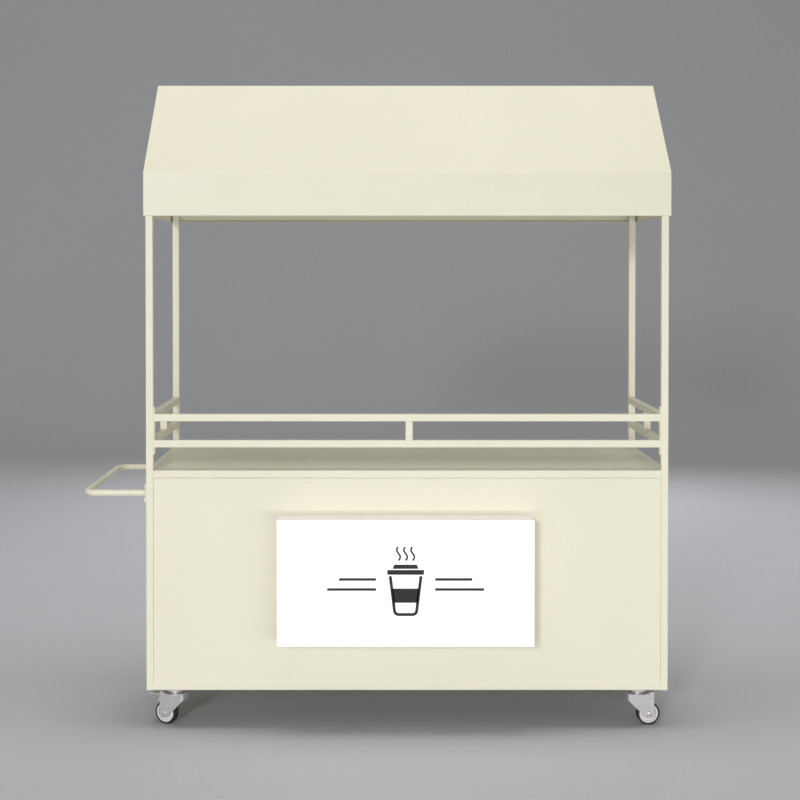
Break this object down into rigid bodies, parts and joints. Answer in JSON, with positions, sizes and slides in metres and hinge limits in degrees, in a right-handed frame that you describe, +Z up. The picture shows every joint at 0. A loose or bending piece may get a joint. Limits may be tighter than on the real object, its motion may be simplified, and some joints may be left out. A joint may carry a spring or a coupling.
{
  "type": "push vending cart",
  "caption": "Upright vending cart with a gable roof on posts, guard-railed counter, closed cabinet with rear doors, front sign box, push handle and swivel casters.",
  "frame": {"origin": "on the floor, at the centre of the whole object's bounding box", "axes": "+X along the cart away from the push handle, +Y from the sign side to the door side, +Z up"},
  "size_m": [2.028, 0.838, 2.263],
  "materials": {
    "powder_coat": "satin cream powder coat",
    "sign_shell": "satin white paint",
    "sign_acrylic": "milky white acrylic, softly glossy",
    "led_strip": "white circuit strip with yellow emitters",
    "driver_case": "bead blasted",
    "zinc_steel": "bright zinc plate",
    "bright_steel": "polished",
    "wheel_plastic": "light grey moulding",
    "tread_rubber": "dull black",
    "black_plastic": "fine texture"
  },
  "bodies": {
    "cart": {"corner_posts": "powder_coat", "floor_rails": "powder_coat", "counter_rails": "powder_coat", "caster_corner_plates": "powder_coat", "guard_rails": "powder_coat", "guard_gussets": "powder_coat", "eave_tubes": "powder_coat", "rafters": "powder_coat", "ridge_tube": "powder_coat", "roof_cover": "powder_coat", "gable_left": "powder_coat", "gable_right": "powder_coat", "panel_front": "powder_coat", "panel_left": "powder_coat", "panel_right": "powder_coat", "floor_deck": "powder_coat", "counter_top": "powder_coat", "shelf_angles": "powder_coat", "storage_shelf": "powder_coat", "sign_housing": "sign_shell", "sign_face": "sign_acrylic", "sign_screws": "zinc_steel", "sign_led_bars": "led_strip", "sign_driver": "driver_case", "hinge_frame_leaves": "zinc_steel", "hinge_pins": "zinc_steel", "door_catches": "black_plastic", "push_handle": "powder_coat", "handle_flanges": "powder_coat", "handle_bolts": "zinc_steel", "caster_plates": "zinc_steel", "caster_kingpins": "zinc_steel", "caster_bolts": "zinc_steel", "caster_balls": "bright_steel"},
    "left_door": {"door_left": "powder_coat", "door_left_hinge_leaves": "zinc_steel", "door_left_pull": "bright_steel"},
    "right_door": {"door_right": "powder_coat", "door_right_hinge_leaves": "zinc_steel", "door_right_pull": "bright_steel"},
    "front_left_caster": {"caster_front_left_fork": "zinc_steel", "caster_front_left_axle": "zinc_steel", "caster_front_left_brake_pin": "zinc_steel"},
    "front_left_wheel": {"caster_front_left_wheel": "wheel_plastic", "caster_front_left_tread": "tread_rubber"},
    "front_left_brake": {"caster_front_left_brake_pedal": "zinc_steel"},
    "front_right_caster": {"caster_front_right_fork": "zinc_steel", "caster_front_right_axle": "zinc_steel"},
    "front_right_wheel": {"caster_front_right_wheel": "wheel_plastic", "caster_front_right_tread": "tread_rubber"},
    "rear_left_caster": {"caster_rear_left_fork": "zinc_steel", "caster_rear_left_axle": "zinc_steel", "caster_rear_left_brake_pin": "zinc_steel"},
    "rear_left_wheel": {"caster_rear_left_wheel": "wheel_plastic", "caster_rear_left_tread": "tread_rubber"},
    "rear_left_brake": {"caster_rear_left_brake_pedal": "zinc_steel"},
    "rear_right_caster": {"caster_rear_right_fork": "zinc_steel", "caster_rear_right_axle": "zinc_steel"},
    "rear_right_wheel": {"caster_rear_right_wheel": "wheel_plastic", "caster_rear_right_tread": "tread_rubber"}
  },
  "joints": [
    {"name": "left_door_hinge", "type": "hinge", "parent": "cart", "child": "left_door", "pos_m": [-0.766, 0.389, 0.516], "axis": [0, 0, 1], "range_deg": [0, 175]},
    {"name": "right_door_hinge", "type": "hinge", "parent": "cart", "child": "right_door", "pos_m": [0.982, 0.389, 0.516], "axis": [0, 0, -1], "range_deg": [0, 175]},
    {"name": "front_left_swivel", "type": "hinge", "parent": "cart", "child": "front_left_caster", "pos_m": [-0.699, -0.25, 0.115], "axis": [0, 0, 1], "continuous": true},
    {"name": "front_left_wheel_spin", "type": "hinge", "parent": "front_left_caster", "child": "front_left_wheel", "pos_m": [-0.73189, -0.23536, 0.04], "axis": [0.4067, 0.9135, 0], "continuous": true},
    {"name": "front_left_brake", "type": "hinge", "parent": "front_left_caster", "child": "front_left_brake", "pos_m": [-0.74285, -0.23048, 0.099], "axis": [-0.4067, -0.9135, 0], "range_deg": [0, 12]},
    {"name": "front_right_swivel", "type": "hinge", "parent": "cart", "child": "front_right_caster", "pos_m": [0.915, -0.25, 0.115], "axis": [0, 0, 1], "continuous": true},
    {"name": "front_right_wheel_spin", "type": "hinge", "parent": "front_right_caster", "child": "front_right_wheel", "pos_m": [0.9508, -0.24624, 0.04], "axis": [0.1045, -0.9945, 0], "continuous": true},
    {"name": "rear_left_swivel", "type": "hinge", "parent": "cart", "child": "rear_left_caster", "pos_m": [-0.699, 0.32, 0.115], "axis": [0, 0, 1], "continuous": true},
    {"name": "rear_left_wheel_spin", "type": "hinge", "parent": "rear_left_caster", "child": "rear_left_wheel", "pos_m": [-0.73189, 0.30536, 0.04], "axis": [-0.4067, 0.9135, 0], "continuous": true},
    {"name": "rear_left_brake", "type": "hinge", "parent": "rear_left_caster", "child": "rear_left_brake", "pos_m": [-0.74285, 0.30048, 0.099], "axis": [0.4067, -0.9135, 0], "range_deg": [0, 12]},
    {"name": "rear_right_swivel", "type": "hinge", "parent": "cart", "child": "rear_right_caster", "pos_m": [0.915, 0.32, 0.115], "axis": [0, 0, 1], "continuous": true},
    {"name": "rear_right_wheel_spin", "type": "hinge", "parent": "rear_right_caster", "child": "rear_right_wheel", "pos_m": [0.94883, 0.30769, 0.04], "axis": [-0.342, -0.9397, 0], "continuous": true}
  ]
}
